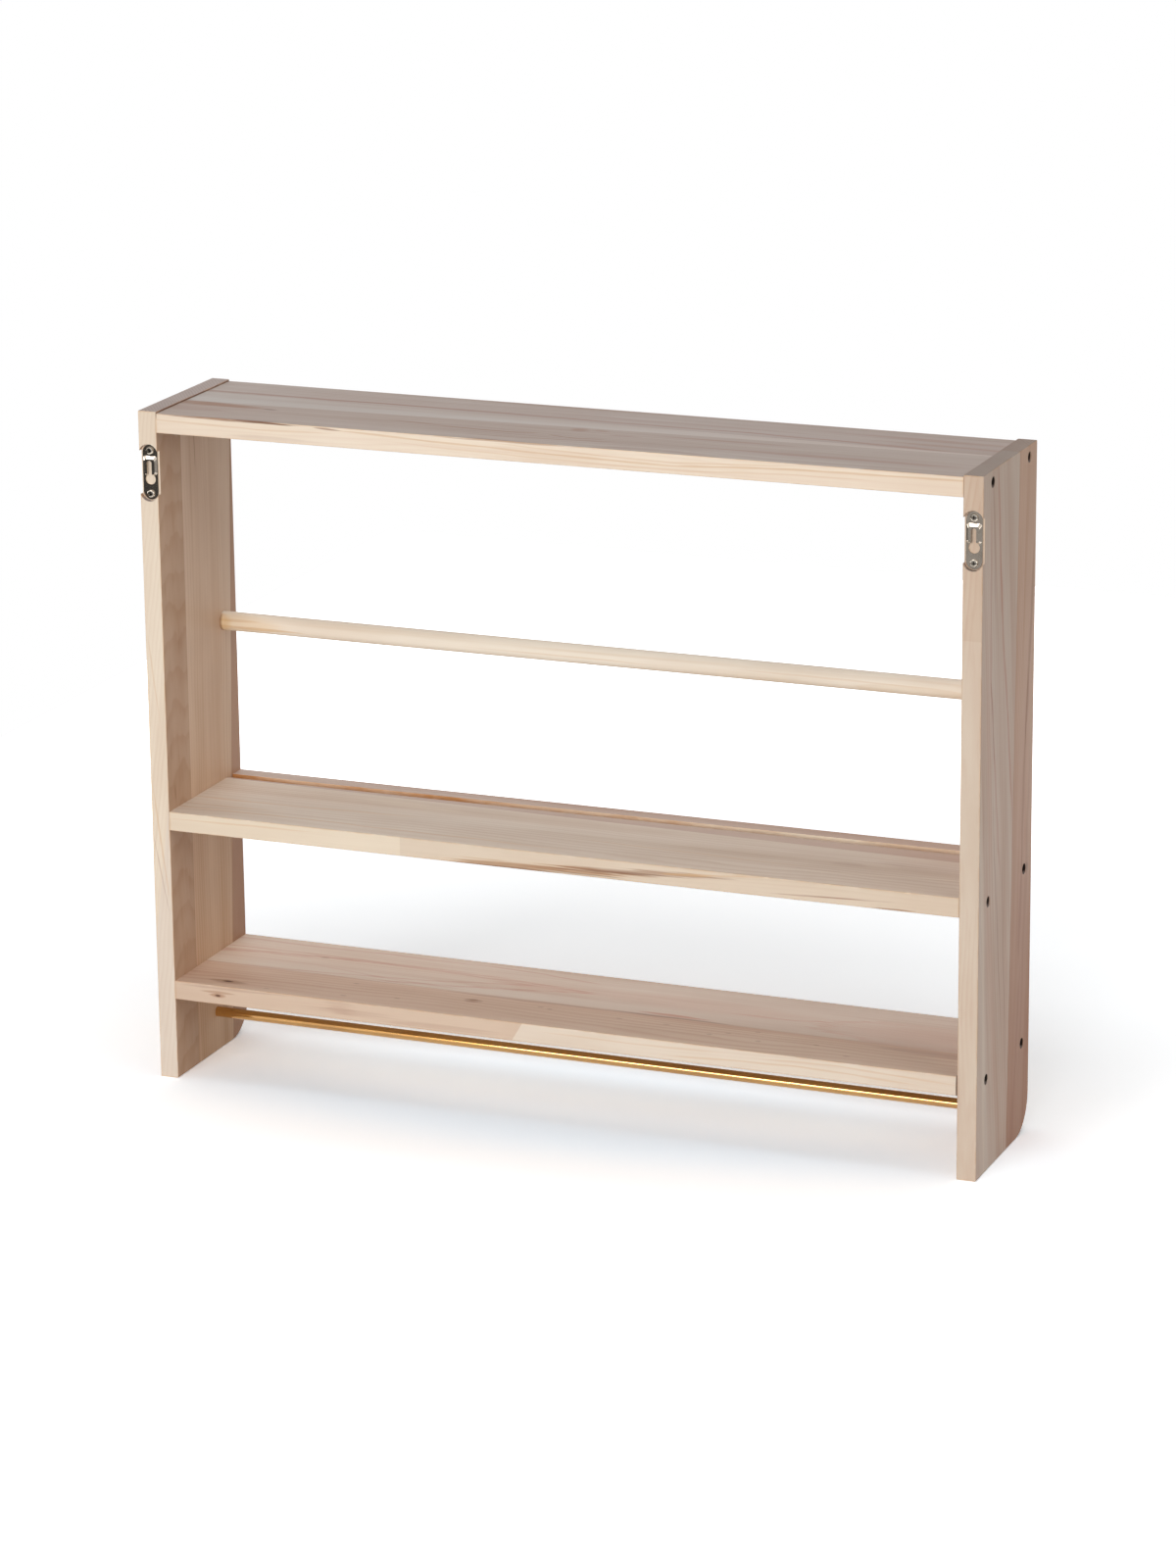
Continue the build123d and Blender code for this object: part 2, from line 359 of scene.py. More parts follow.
class Board(Finish):
    """A board of glued staves, whose figure, streaks and knots run through the solid wood to every face."""

    ORDERS = {"X": (0, 1, 2), "Z": (2, 1, 0)}

    def __init__(self, node, grain):
        super().__init__(node + "_wood")
        self.low, self.high = (Vector(corner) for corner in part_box(node))
        self.order = self.ORDERS[grain]
        self.middle = (self.low + self.high) / 2
        self.half = [(self.high - self.middle)[axis] for axis in self.order]
        offset = self.vector("SUBTRACT", self.place(), tuple(self.middle)).outputs[0]
        parts = self.node("ShaderNodeSeparateXYZ", {0: offset}).outputs
        self.along, self.across, self.through = (parts[axis] for axis in self.order)
        self.normal = self.facing()

    def turned(self, vector):
        """A vector of the object's frame, as along the grain, across the board and through it."""
        return Vector([vector[axis] for axis in self.order])

    def combine(self, *parts):
        return self.node("ShaderNodeCombineXYZ", enumerate(parts)).outputs[0]

    def inside(self):
        """The point's place along the grain, across the board and through it, from the board's middle."""
        return self.combine(self.along, self.across, self.through)

    def on(self, face, place):
        """A point of the object's frame, from its two places on a face of the board."""
        first, second = place
        if face == "top":
            return Vector((first, second, self.high[2]))
        if face == "back":
            return Vector((first, self.high[1], second))
        return Vector((self.low[0] if face == "left" else self.high[0], first, second))

    def streak(self, tone, face, start, end, width, strength=0.6, ragged=1.2):
        """A mark along a line; width is half its breadth."""
        start, end = self.on(face, start), self.on(face, end)
        run = self.turned(end - start)
        turn = (0.0, -math.asin(run[2] / run.length), math.atan2(run[1], run[0]))
        across, through = (MARK_DEPTH, width) if face == "back" else (width, MARK_DEPTH)
        half = self.turned(Vector((run.length / 2, across, through)))
        return mark(tone, (start + end) / 2, half, turn, strength, ragged)

    def vein(self, tone, face, points, width, strength=0.5, ragged=0.6):
        """A line of grain through several points, made of streaks that run on into each other."""
        points = [Vector(point) for point in points]
        streaks = []
        for start, end in zip(points, points[1:]):
            past = (end - start) * VEIN_OVERLAP
            streaks.append(self.streak(tone, face, start - past, end + past, width, strength, ragged))
        return streaks

    def spot(self, tone, face, place, half, strength=0.6, ragged=1.2, turn=0.0, **shape):
        """A patch on a face; half is its reach in the face's own two directions."""
        first, second = half
        reach = {"top": (first, second, MARK_DEPTH), "back": (first, MARK_DEPTH, second)}
        half = reach.get(face, (MARK_DEPTH, first, second))
        return mark(tone, self.on(face, place), half, (0.0, 0.0, turn), strength, ragged, **shape)

    def figure(self, number, one):
        """How dark the grain of one stave is, from 0 to 1: rings, bands, veins and fine fibres."""
        across = self.math("MULTIPLY_ADD", self.along, -one["lean"], self.across)
        through = self.math("MULTIPLY_ADD", self.along, -one["dive"], self.through)
        shift = tuple(number * step for step in STAVE_SHIFT)
        place = self.vector("ADD", self.combine(self.along, across, through), shift).outputs[0]
        side = self.math("SUBTRACT", across, one["heart"][0])
        deep = self.math("SUBTRACT", through, one["heart"][1])
        radius = self.vector("LENGTH", self.combine(0.0, side, deep)).outputs["Value"]
        wander = RING_WANDER * (CURL_WANDER if one["curl"] else 1.0)
        radius = self.math("MULTIPLY_ADD", self.noise(place, RING_WANDER_REPEATS), wander, radius)
        radius = self.math("MULTIPLY_ADD", self.noise(place, RING_WIGGLE_REPEATS), RING_WIGGLE, radius)
        if one["curl"]:
            ripple = self.noise(place, CURL_REPEATS, detail=2.5)
            radius = self.math("MULTIPLY_ADD", ripple, CURL_DEPTH * one["curl"], radius)
        turn = self.math("FRACT", self.math("DIVIDE", radius, one["spacing"]))
        ring = self.math("MULTIPLY", self.ease(turn, *RING_RISE), self.ease(turn, *RING_FALL))
        if not one["curl"]:
            patches = self.ease(self.noise(place, RING_PATCH_REPEATS), *RING_PATCH_SPAN)
            ring = self.math("MULTIPLY", ring, patches)
        bands = self.ease(self.noise(place, BAND_REPEATS, detail=3.0), *BAND_SPAN)
        veins = self.ease(self.noise(place, FINE_VEIN_REPEATS), *FINE_VEIN_SPAN)
        fibres = self.noise(place, FIBRE_REPEATS, detail=3.0)
        figure = self.math("MULTIPLY", ring, one["rings"])
        figure = self.math("MULTIPLY_ADD", bands, one["bands"], figure)
        figure = self.math("MULTIPLY_ADD", veins, FINE_VEIN_SHARE, figure)
        return self.math("MULTIPLY_ADD", fibres, FIBRE_SHARE, figure)

    def stave_tone(self, one):
        """The tone of a stave, which may drift along the grain, with its own marks."""
        tone = one["tone"]
        if one["drift"] != tone:
            tone = self.blend(self.ease(self.along, self.half[0], -self.half[0]), tone, one["drift"])
        return self.add_marks(tone, one["marks"])

    def lay_staves(self, staves):
        """Tone, tint and figure of the stave at each point, and the glue lines between them."""
        tone = self.stave_tone(staves[0])
        tint = staves[0]["tint"]
        figure = self.figure(0, staves[0])
        glue = 0.0
        for number, one in enumerate(staves[1:], 1):
            high, low = one["joint"]
            middle = (high + low) / 2 - self.middle[self.order[1]]
            slope = (high - low) / (2 * self.half[0])
            line = self.math("MULTIPLY_ADD", self.along, slope, middle)
            side = self.math("SUBTRACT", self.across, line)
            beyond = self.ease(side, -JOINT_BLUR, JOINT_BLUR)
            tone = self.blend(beyond, tone, self.stave_tone(one))
            tint = self.blend(beyond, tint, one["tint"])
            change = self.math("SUBTRACT", self.figure(number, one), figure)
            figure = self.math("MULTIPLY_ADD", beyond, change, figure)
            seam = self.ease(self.math("ABSOLUTE", side), JOINT_WIDTH, 0.0)
            glue = self.math("MAXIMUM", glue, seam)
        return tone, tint, figure, glue

    def lay_edge(self, tone, figure, segments):
        """The long edges' own tones and quieter figure; a later segment starts at a place along the grain."""
        edge = segments[0][0]
        for after, start, slant in segments[1:]:
            line = self.math("MULTIPLY_ADD", self.through, slant, self.along)
            edge = self.blend(self.ease(line, start - JOINT_BLUR, start + JOINT_BLUR), edge, after)
        rim = self.half[1] - EDGE_DEPTH
        outer = self.ease(self.math("ABSOLUTE", self.across), rim, rim + JOINT_BLUR)
        level = self.ease(self.math("ABSOLUTE", self.normal[1]), *EDGE_FACING)
        share = self.math("MULTIPLY", level, outer)
        quiet = self.math("MULTIPLY_ADD", share, EDGE_FIGURE - 1.0, 1.0)
        return self.blend(share, tone, edge), self.math("MULTIPLY", figure, quiet)

    def scorch_and_bounce(self, tone, dark, light):
        """The cutter's burn on a groove's wall that faces the back, with painted warm bounce light: mottled,
        and lighter at the low end.
        """
        mottle = self.noise(self.inside(), BURN_REPEATS, detail=4.0, roughness=0.65)
        mottle = self.ease(mottle, *BURN_SPAN)
        pale = self.ease(self.along, *(share * self.half[0] for share in BURN_REACH))
        pale = self.math("MULTIPLY", pale, BURN_FADE)
        burn = self.blend(self.math("MULTIPLY_ADD", mottle, BURN_MOTTLE, pale), dark, light)
        rim = self.half[1] - EDGE_DEPTH
        back = self.ease(self.normal[1], *EDGE_FACING)
        wall = self.math("MULTIPLY", back, self.ease(self.across, rim, rim - JOINT_BLUR))
        return self.blend(wall, tone, burn)

    def reach(self, origin, one):
        """How far a point lies from the middle of a mark, where 1 is the mark's rim."""
        offset = self.vector("SUBTRACT", origin, self.turned(one["place"] - self.middle)).outputs[0]
        axes = Euler(one["turn"]).to_matrix().transposed()
        shares = [self.vector("DOT_PRODUCT", offset, axis / half).outputs["Value"]
                  for axis, half in zip(axes, self.turned(one["half"]))]
        if not one["pointed"]:
            return self.vector("LENGTH", self.combine(*shares)).outputs["Value"]
        thin = self.vector("LENGTH", self.combine(0.0, *shares[1:])).outputs["Value"]
        return self.math("MULTIPLY_ADD", shares[0], shares[0], thin)

    def add_marks(self, tone, marks):
        """The tone with marks laid over it in turn, each torn along the grain at its rim."""
        if not marks:
            return tone
        place = self.inside()
        tear = self.noise(place, MARK_TEAR_REPEATS, detail=3.0)
        tear = self.math("SUBTRACT", tear, NOISE_MEAN)
        drift = self.math("SUBTRACT", self.noise(place, MARK_WANDER_REPEATS), NOISE_MEAN)
        drift = self.math("MULTIPLY", drift, MARK_WANDER)
        across = self.math("ADD", self.across, drift)
        through = self.math("MULTIPLY_ADD", drift, MARK_WANDER_THROUGH, self.through)
        origin = self.combine(self.along, across, through)
        for one in marks:
            torn = self.math("MULTIPLY_ADD", tear, one["ragged"], self.reach(origin, one))
            if one["hollow"]:
                rim = self.math("ABSOLUTE", self.math("SUBTRACT", torn, 1.0))
                cover = self.ease(rim, one["hollow"], 0.0)
            else:
                cover = self.ease(torn, *MARK_SPAN)
            tone = self.blend(self.math("MULTIPLY", cover, one["strength"]), tone, one["tone"])
        return tone

    def end_tone(self, place, tone):
        """Sawn end grain: growth rings that cross it on a slant, and open pores."""
        slant = self.math("MULTIPLY_ADD", self.through, END_SLANT, self.across)
        slant = self.math("MULTIPLY_ADD", self.noise(place, END_WANDER_REPEATS), END_WANDER, slant)
        turn = self.math("FRACT", self.math("DIVIDE", slant, END_SPACING))
        ring = self.math("MULTIPLY", self.ease(turn, *END_RISE), self.ease(turn, *END_FALL))
        pores = self.ease(self.noise(place, PORE_REPEATS), *PORE_SPAN)
        shade = self.math("MULTIPLY", ring, END_RING_SHARE)
        shade = self.math("MULTIPLY_ADD", pores, PORE_SHARE, shade)
        return self.blend(shade, tone, END_GRAIN_TINT, "MULTIPLY")

    def arris(self, place):
        """1 along the board's edges, broken up as sanding and handling leave them."""
        gaps = [self.math("SUBTRACT", half, self.math("ABSOLUTE", part))
                for half, part in zip(self.half, (self.along, self.across, self.through))]
        low, high = (self.math(pick, gaps[0], gaps[1]) for pick in ("MINIMUM", "MAXIMUM"))
        near = self.math("MAXIMUM", low, self.math("MINIMUM", high, gaps[2]))
        broken = self.ease(self.noise(place, ARRIS_REPEATS, detail=3.0), *ARRIS_SPAN)
        return self.math("MULTIPLY", self.ease(near, ARRIS_WIDTH, ARRIS_CORE), broken)

    def finish(self, staves, segments=(), marks=(), burn=None, end_grain=END_GREY):
        """The board's material: staves, edges, clouds, burn and painted bounce light, marks with painted
        shade among them, ends, glue lines and wear in turn.
        """
        tone, tint, figure, glue = self.lay_staves(staves)
        if segments:
            tone, figure = self.lay_edge(tone, figure, segments)
        tone = self.blend(figure, tone, tint, "MULTIPLY")
        place = self.inside()
        clouds = self.ease(self.noise(place, CLOUD_REPEATS, detail=3.0), *CLOUD_SPAN)
        tone = self.blend(clouds, tone, CLOUD_TINT, "MULTIPLY")
        if burn:
            tone = self.scorch_and_bounce(tone, *burn)
        tone = self.add_marks(tone, marks)
        end = self.ease(self.math("ABSOLUTE", self.normal[self.order[0]]), *END_FACING)
        tone = self.blend(self.math("MULTIPLY", end, END_COVER), tone, self.end_tone(place, end_grain))
        tone = self.blend(self.math("MULTIPLY", glue, GLUE_SHARE), tone, BROWN_STREAK_AND_SHADE)
        worn = self.arris(place)
        tone = self.blend(worn, tone, ARRIS_TINT, "MULTIPLY")
        self.bump(self.math("SUBTRACT", 1.0, figure), GRAIN_DEPTH, GRAIN_STRENGTH)
        roughness = self.math("MULTIPLY_ADD", figure, FIGURE_ROUGHNESS, WOOD_ROUGHNESS)
        roughness = self.math("MULTIPLY_ADD", worn, WORN_ROUGHNESS, roughness)
        roughness = self.math("MULTIPLY_ADD", end, END_ROUGHNESS, roughness)
        self.shine(Base_Color=tone, Roughness=roughness, Specular_IOR_Level=WOOD_SPECULAR)
        return self.material


def dress(node, material):
    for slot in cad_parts[node].material_slots:
        slot.material = material


def dress_top_shelf():
    """Three staves, a red vein, a brown patch and a painted shade line at the right end, and gold veins along
    the back edge.
    """
    board = Board("top_shelf", "X")
    staves = [
        stave(ROSE_GREY, drift=ROSE_SHADE, tint=RED_TINT, rings=0.30),
        stave(ASH_GREY, (-0.0265, -0.0100), drift=ASH_SHADE, tint=RED_TINT, rings=0.15, bands=0.25),
        stave(DUSK_ROSE, (0.0145, -0.0055), drift=DUSK_SHADE, tint=RED_TINT, rings=0.30, bands=0.32)]
    line = [(0.420, -0.0315), (0.207, -0.0310), (0.032, -0.0275), (-0.143, -0.0260), (-0.243, -0.0210),
            (-0.330, -0.0130)]
    marks = board.vein(STREAK_RED, "top", line, 0.0045, 0.40)
    for start, end, width, strength in (
            ((0.130, -0.0460), (-0.270, -0.0385), 0.0050, 0.22),
            ((-0.190, -0.0540), (-0.440, -0.0450), 0.0060, 0.28),
            ((-0.240, -0.0340), (-0.440, -0.0240), 0.0060, 0.28),
            ((-0.030, 0.0240), (-0.072, 0.0230), 0.0030, 0.35),
            ((-0.060, 0.0150), (-0.240, 0.0130), 0.0040, 0.25),
            ((-0.090, 0.0440), (-0.420, 0.0450), 0.0070, 0.28)):
        marks.append(board.streak(STREAK_RED, "top", start, end, width, strength))
    marks += [
        board.spot(STREAK_RED, "top", (0.365, 0.043), (0.050, 0.012), 0.25),
        board.streak(BROWN_STREAK_AND_SHADE, "top", (0.460, 0.0160), (0.278, 0.0250), 0.0110, 0.60),
        board.spot(BROWN_STREAK_AND_SHADE, "top", (0.335, 0.0220), (0.050, 0.0080), 0.35, 1.6, pointed=False),
        board.spot(DARK_KNOT_AND_SHADE, "top", (0.2915, 0.0255), (0.0090, 0.0022), 0.45),
        # painted shade: a dark line where the top shelf's end meets the right panel
        board.spot(DARK_STREAK_AND_SHADE, "top", (0.3822, 0.0), (0.0016, 0.300), 0.75, 0.0, pointed=False),
        board.spot(BROWN_STREAK_AND_SHADE, "top", (-0.0050, 0.0125), (0.0120, 0.0110), 0.42, 1.5, pointed=False),
        board.spot(BROWN_STREAK_AND_SHADE, "top", (-0.0250, 0.0095), (0.0120, 0.0060), 0.35, 1.5, pointed=False)]
    smile = [(0.167, 0.0305), (0.117, 0.0360), (0.082, 0.0400), (0.050, 0.0405), (0.027, 0.0375)]
    small_smile = [(0.012, 0.0400), (-0.003, 0.0440), (-0.018, 0.0455), (-0.037, 0.0415)]
    frown = [(0.082, 0.060), (0.032, 0.058), (-0.013, 0.0525), (-0.048, 0.049)]
    for points, width, strength in (
            (smile, 0.0022, 0.40), (small_smile, 0.0014, 0.50), (frown, 0.0020, 0.35)):
        marks += board.vein(BROWN_STREAK_AND_SHADE, "top", points, width, strength)
    sweep = [(0.192, 0.6315), (0.122, 0.6295), (0.062, 0.6275), (-0.008, 0.6255), (-0.068, 0.6243),
             (-0.118, 0.6240), (-0.158, 0.6258), (-0.198, 0.6280), (-0.248, 0.6295), (-0.318, 0.6305),
             (-0.400, 0.6310)]
    low_sweep = [(0.132, 0.6250), (0.032, 0.6220), (-0.068, 0.6200), (-0.143, 0.6208), (-0.218, 0.6240),
                 (-0.293, 0.6250)]
    high_sweep = [(0.032, 0.6310), (-0.048, 0.6280), (-0.118, 0.6270), (-0.168, 0.6290), (-0.218, 0.6315)]
    end_sweep = [(0.390, 0.6290), (0.282, 0.6270), (0.217, 0.6285)]
    for points, width, strength in (
            (sweep, 0.0014, 0.45), (low_sweep, 0.0011, 0.25), (high_sweep, 0.0011, 0.30),
            (end_sweep, 0.0013, 0.30)):
        marks += board.vein(STREAK_GOLD, "back", points, width, strength)
    marks += [
        board.streak(STREAK_RED, "back", (0.320, 0.6205), (0.205, 0.6200), 0.0030, 0.16),
        board.streak(BROWN_STREAK_AND_SHADE, "back", (0.385, 0.6337), (0.226, 0.6333), 0.0015, 0.75),
        board.streak(DARK_STREAK_AND_SHADE, "back", (0.330, 0.6336), (0.232, 0.6331), 0.0014, 0.55, 2.0),
        board.streak(BROWN_STREAK_AND_SHADE, "back", (0.229, 0.6331), (0.196, 0.6319), 0.0011, 0.65),
        board.streak(BROWN_STREAK_AND_SHADE, "back", (0.140, 0.6340), (-0.060, 0.6335), 0.0012, 0.45)]
    dress("top_shelf", board.finish(staves, [(CREAM,)], marks))


def dress_middle_shelf():
    """Two staves, gold veins, a brown flame and pale chips on the back edge, and a burnt groove with painted
    warm bounce light.
    """
    board = Board("middle_shelf", "X")
    staves = [
        stave(BLUSH, drift=BLUSH_SHADE, tint=RED_TINT),
        stave(SAND, (-0.044, -0.0228), drift=SAND_SHADE, rings=0.35, bands=0.36)]
    marks = []
    for tone, points, width, strength in (
            (STREAK_GOLD, [(0.400, 0.0205), (0.257, 0.0190), (0.172, 0.0130)], 0.0026, 0.35),
            (STREAK_GOLD, [(0.400, 0.055), (0.257, 0.053), (0.132, 0.0565), (0.007, 0.060)], 0.0024, 0.35),
            (STREAK_GOLD, [(-0.018, 0.0265), (-0.118, 0.030), (-0.218, 0.035)], 0.0022, 0.25),
            (PALE_CREAM, [(-0.218, 0.0465), (-0.293, 0.038), (-0.378, 0.0265)], 0.0024, 0.25)):
        marks += board.vein(tone, "top", points, width, strength)
    marks += [
        board.spot(PALE_CREAM, "top", (0.180, -0.020), (0.075, 0.012), 0.22, turn=-0.12),
        board.streak(STREAK_GOLD, "top", (0.400, 0.0415), (0.270, 0.0390), 0.0024, 0.25),
        board.spot(STREAK_RED, "top", (-0.258, 0.014), (0.022, 0.009), 0.14, 2.0),
        board.spot(STREAK_RED, "top", (-0.335, 0.000), (0.060, 0.022), 0.12, 2.0)]
    for tone, start, end, width, strength in (
            (STREAK_GOLD, (0.150, 0.2422), (-0.110, 0.2486), 0.0050, 0.45),
            (BROWN_STREAK_AND_SHADE, (0.135, 0.2424), (-0.105, 0.2485), 0.0040, 0.50),
            (BROWN_STREAK_AND_SHADE, (0.050, 0.2440), (-0.190, 0.2562), 0.0040, 0.58),
            (DARK_STREAK_AND_SHADE, (0.110, 0.2421), (-0.070, 0.2440), 0.0016, 0.40),
            (DARK_STREAK_AND_SHADE, (0.010, 0.2455), (-0.130, 0.2522), 0.0018, 0.35),
            (STREAK_GOLD, (-0.080, 0.2505), (-0.212, 0.2600), 0.0016, 0.50)):
        marks.append(board.streak(tone, "back", start, end, width, strength, 2.2))
    marks += [
        board.streak(STREAK_RED, "back", (-0.200, 0.2452), (-0.305, 0.2490), 0.0011, 0.45, 1.6),
        board.streak(STREAK_RED, "back", (-0.240, 0.2470), (-0.330, 0.2500), 0.0009, 0.35, 1.6),
        board.streak(BROWN_STREAK_AND_SHADE, "back", (-0.298, 0.2427), (-0.345, 0.2434), 0.0011, 0.60),
        board.streak(STREAK_GOLD, "back", (0.400, 0.2535), (0.210, 0.2560), 0.0012, 0.35)]
    for start, end in ((-0.200, -0.208), (-0.256, -0.266), (-0.331, -0.339)):
        marks.append(board.streak(PALE_CREAM, "back", (start, 0.2597), (end, 0.2597), 0.0006, 0.85))
    edge = [(PINK_CREAM,), (PALE_CREAM, 0.1495, 0.0)]
    dress("middle_shelf", board.finish(staves, edge, marks, burn=(BURN_AND_BOUNCE_ORANGE, BURN_AND_BOUNCE_CREAM)))


def dress_lower_shelf():
    """Two staves, one with rose loops, knots, specks and veins, and a painted shade line in the gap at the
    left panel.
    """
    board = Board("lower_shelf", "X")
    flame = []
    for points, width, strength in (
            ([(0.130, -0.0660), (0.057, -0.0585), (0.012, -0.0520)], 0.0022, 0.25),
            ([(0.400, -0.0635), (0.232, -0.0650), (0.142, -0.0620)], 0.0022, 0.25),
            ([(0.400, -0.0385), (0.307, -0.0420), (0.220, -0.0400)], 0.0024, 0.25),
            ([(-0.140, -0.0150), (-0.190, -0.0170), (-0.228, -0.0230)], 0.0022, 0.28),
            ([(0.272, -0.0110), (0.217, -0.0010), (0.132, 0.0065)], 0.0022, 0.16)):
        flame += board.vein(STREAK_ROSE, "top", points, width, strength)
    flame += [
        board.spot(STREAK_ROSE, "top", (0.257, -0.012), (0.250, 0.025), 0.38, 0.60, turn=0.05, hollow=0.12),
        board.spot(STREAK_ROSE, "top", (0.315, -0.013), (0.250, 0.022), 0.30, 0.35, turn=0.05, hollow=0.11),
        board.spot(STREAK_ROSE, "top", (0.060, -0.0235), (0.058, 0.009), 0.20, 0.8),
        board.spot(STREAK_ROSE, "top", (-0.100, -0.028), (0.150, 0.026), 0.12, 0.8),
        board.spot(STREAK_ROSE, "top", (-0.315, -0.013), (0.092, 0.027), 0.28, 0.90, pointed=False,
                   hollow=0.10),
        board.spot(STREAK_ROSE, "top", (-0.315, -0.013), (0.110, 0.034), 0.14, 0.8, pointed=False),
        board.spot(BROWN_STREAK_AND_SHADE, "top", (0.2795, -0.0350), (0.0060, 0.0040), 0.22),
        board.streak(STREAK_ROSE, "top", (-0.045, 0.0065), (-0.135, 0.0095), 0.0040, 0.55)]
    staves = [
        stave(PEACH, drift=PEACH_SHADE, tint=RED_TINT, rings=0.15, bands=0.35, marks=flame),
        stave(HAZEL, (0.010, 0.018), drift=HAZEL_SHADE, tint=RED_TINT)]
    marks = [
        board.spot(KNOT_HALO, "top", (0.3345, 0.0600), (0.024, 0.008), 0.6),
        board.spot(DARK_KNOT_AND_SHADE, "top", (0.3345, 0.0600), (0.0075, 0.0035), 0.85, 0.5, pointed=False),
        board.spot(KNOT_HALO, "top", (0.0985, 0.0315), (0.011, 0.008), 0.55, 1.8),
        board.spot(BROWN_STREAK_AND_SHADE, "top", (0.0990, 0.0300), (0.005, 0.004), 0.45, 1.8),
        board.streak(STREAK_RED, "top", (0.000, 0.0135), (-0.160, 0.0150), 0.0032, 0.50),
        board.streak(STREAK_RED, "top", (-0.270, 0.0240), (-0.440, 0.0300), 0.0090, 0.30),
        board.streak(STREAK_RED, "top", (0.150, 0.0150), (-0.060, 0.0170), 0.0026, 0.30)]
    for x, y in ((0.220, 0.0255), (0.0335, 0.029), (0.0235, 0.0315), (-0.0455, 0.033), (-0.092, 0.033),
                 (-0.153, 0.0365), (-0.177, 0.024), (-0.238, 0.040), (-0.1855, 0.049), (-0.138, 0.0455),
                 (0.167, 0.050), (0.217, 0.060), (0.292, 0.0655), (-0.273, 0.060)):
        marks.append(board.spot(BROWN_STREAK_AND_SHADE, "top", (x, y), (0.0042, 0.0020), 0.30))
    marks += [
        board.spot(KNOT_HALO, "back", (0.338, 0.0895), (0.022, 0.0022), 0.55),
        board.spot(KNOT_HALO, "back", (0.338, 0.0868), (0.011, 0.0030), 0.75),
        board.spot(DARK_KNOT_AND_SHADE, "back", (0.338, 0.0866), (0.0042, 0.0016), 0.85, 0.5, pointed=False),
        board.spot(STREAK_RED, "back", (0.2130, 0.0885), (0.020, 0.0080), 0.18, 2.4, pointed=False),
        board.spot(STREAK_RED, "back", (0.2050, 0.0860), (0.060, 0.0042), 0.20, 1.6, pointed=False),
        board.spot(STREAK_RED, "back", (0.1120, 0.0830), (0.062, 0.0048), 0.17, 1.6, pointed=False),
        board.streak(STREAK_RED, "back", (0.390, 0.0935), (0.250, 0.0940), 0.0018, 0.28),
        # painted shade: the gap between the lower shelf's back edge and the left panel
        board.streak(DARK_KNOT_AND_SHADE, "back", (-0.3815, 0.060), (-0.3815, 0.110), 0.0012, 0.85, 0.0)]
    for points, width, strength in (
            ([(-0.120, 0.0830), (-0.178, 0.0855), (-0.233, 0.0870), (-0.283, 0.0860), (-0.333, 0.0840)],
             0.0014, 0.32),
            ([(-0.208, 0.0905), (-0.268, 0.0925), (-0.328, 0.0900), (-0.378, 0.0875)], 0.0013, 0.28),
            ([(0.000, 0.0900), (-0.070, 0.0895), (-0.150, 0.0910)], 0.0012, 0.25)):
        marks += board.vein(STREAK_GOLD, "back", points, width, strength)
    edge = [(IVORY,), (TAN, 0.037, 0.6)]
    dress("lower_shelf", board.finish(staves, edge, marks))


def recess_shade_marks(node):
    """Painted shade on the walls of the screw recesses in a side panel's outer face, one mark near the rim
    and one deeper.
    """
    marks = []
    side = node.rsplit("_", 1)[1]
    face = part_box(node)[0 if side == "left" else 1][0]
    inward = 1 if side == "left" else -1
    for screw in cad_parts:
        if screw.startswith("shelf_screw_" + side):
            low, high = (Vector(corner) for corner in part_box(screw))
            middle = (low + high) / 2
            for depth in RECESS_DEPTHS:
                place = (face + inward * depth, middle[1], middle[2])
                half = (depth, *RECESS_REACH)
                marks.append(mark(PAINTED_RECESS_SHADE, place, half, strength=1.0, ragged=0.0, pointed=False))
    return marks


